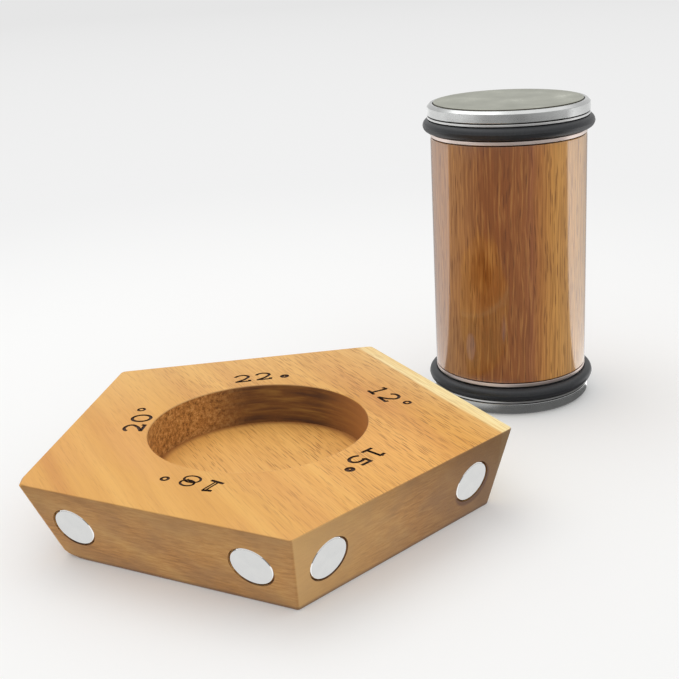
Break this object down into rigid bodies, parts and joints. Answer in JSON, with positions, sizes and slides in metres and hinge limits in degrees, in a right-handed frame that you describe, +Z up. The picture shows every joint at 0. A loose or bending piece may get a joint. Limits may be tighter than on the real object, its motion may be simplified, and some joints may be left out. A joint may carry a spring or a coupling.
{
  "type": "rolling knife sharpener",
  "caption": "Magnetic wooden angle block with leaning sides for holding a blade, and a wooden roller with abrasive end discs and rubber rolling rings.",
  "frame": {"origin": "middle of the angle block's underside", "axes": "+Z up; +Y out of the middle of the 22 degree side; the roller stands at +X +Y"},
  "size_m": [0.1857, 0.1634, 0.1006],
  "materials": {
    "block_wood": "oiled honey-brown acacia with dark pores and a pale sapwood edge",
    "barrel_wood": "turned and oiled red-brown wood, grain along the barrel, satin",
    "nickel_plate": "bright nickel plating",
    "turned_steel": "fine turned stainless steel",
    "spun_aluminium": "fine turned aluminium",
    "bearing_steel": "ground and polished",
    "zinc_plate": "bright zinc plating",
    "moulded_nylon": "natural nylon",
    "black_rubber": "matt black nitrile",
    "diamond_grit": "grey-green nickel-bonded diamond grit, matt",
    "ceramic_grit": "dark fine ceramic, matt"
  },
  "bodies": {
    "block": {"angle_block": "block_wood", "magnet_22_left": "nickel_plate", "magnet_22_right": "nickel_plate", "magnet_12_left": "nickel_plate", "magnet_12_right": "nickel_plate", "magnet_15_left": "nickel_plate", "magnet_15_right": "nickel_plate", "magnet_18_left": "nickel_plate", "magnet_18_right": "nickel_plate", "magnet_20_left": "nickel_plate", "magnet_20_right": "nickel_plate"},
    "lower_disc": {"lower_disc_carrier": "turned_steel", "honing_disc": "ceramic_grit"},
    "wheel_set": {"axle": "turned_steel", "spacer_tube": "spun_aluminium", "upper_wheel_hub": "spun_aluminium", "upper_rubber_ring": "black_rubber", "upper_hub_screw": "zinc_plate", "upper_washer": "zinc_plate", "upper_inner_race": "bearing_steel", "lower_wheel_hub": "spun_aluminium", "lower_rubber_ring": "black_rubber", "lower_hub_screw": "zinc_plate", "lower_washer": "zinc_plate", "lower_inner_race": "bearing_steel"},
    "barrel": {"wooden_barrel": "barrel_wood", "upper_end_ring": "spun_aluminium", "upper_outer_race": "bearing_steel", "upper_bearing_outer_shield": "zinc_plate", "upper_bearing_inner_shield": "zinc_plate", "lower_end_ring": "spun_aluminium", "lower_outer_race": "bearing_steel", "lower_bearing_outer_shield": "zinc_plate", "lower_bearing_inner_shield": "zinc_plate"},
    "upper_ball_set": {"upper_bearing_cage": "moulded_nylon", "upper_bearing_ball_1": "bearing_steel", "upper_bearing_ball_2": "bearing_steel", "upper_bearing_ball_3": "bearing_steel", "upper_bearing_ball_4": "bearing_steel", "upper_bearing_ball_5": "bearing_steel", "upper_bearing_ball_6": "bearing_steel", "upper_bearing_ball_7": "bearing_steel"},
    "lower_ball_set": {"lower_bearing_cage": "moulded_nylon", "lower_bearing_ball_1": "bearing_steel", "lower_bearing_ball_2": "bearing_steel", "lower_bearing_ball_3": "bearing_steel", "lower_bearing_ball_4": "bearing_steel", "lower_bearing_ball_5": "bearing_steel", "lower_bearing_ball_6": "bearing_steel", "lower_bearing_ball_7": "bearing_steel"},
    "upper_disc": {"upper_disc_carrier": "turned_steel", "diamond_disc": "diamond_grit"}
  },
  "joints": [
    {"name": "roller_lift", "type": "slide", "parent": "block", "child": "lower_disc", "axis": [0, 0, 1], "range_m": [0, 0.14]},
    {"name": "lower_disc_unscrew", "type": "slide", "parent": "lower_disc", "child": "wheel_set", "axis": [0, 0, 1], "range_m": [0, 0.03]},
    {"name": "barrel_spin", "type": "hinge", "parent": "wheel_set", "child": "barrel", "pos_m": [0.0916, 0.0659, 0.0503], "axis": [0, 0, 1], "continuous": true},
    {"name": "upper_ball_orbit", "type": "hinge", "parent": "wheel_set", "child": "upper_ball_set", "pos_m": [0.0916, 0.0659, 0.0503], "axis": [0, 0, 1], "continuous": true},
    {"name": "lower_ball_orbit", "type": "hinge", "parent": "wheel_set", "child": "lower_ball_set", "pos_m": [0.0916, 0.0659, 0.0503], "axis": [0, 0, 1], "continuous": true},
    {"name": "upper_disc_unscrew", "type": "slide", "parent": "wheel_set", "child": "upper_disc", "axis": [0, 0, 1], "range_m": [0, 0.03]}
  ],
  "couplings": [
    {"joint": "upper_ball_orbit", "follows": "barrel_spin", "ratio": 0.632},
    {"joint": "lower_ball_orbit", "follows": "barrel_spin", "ratio": 0.632}
  ]
}
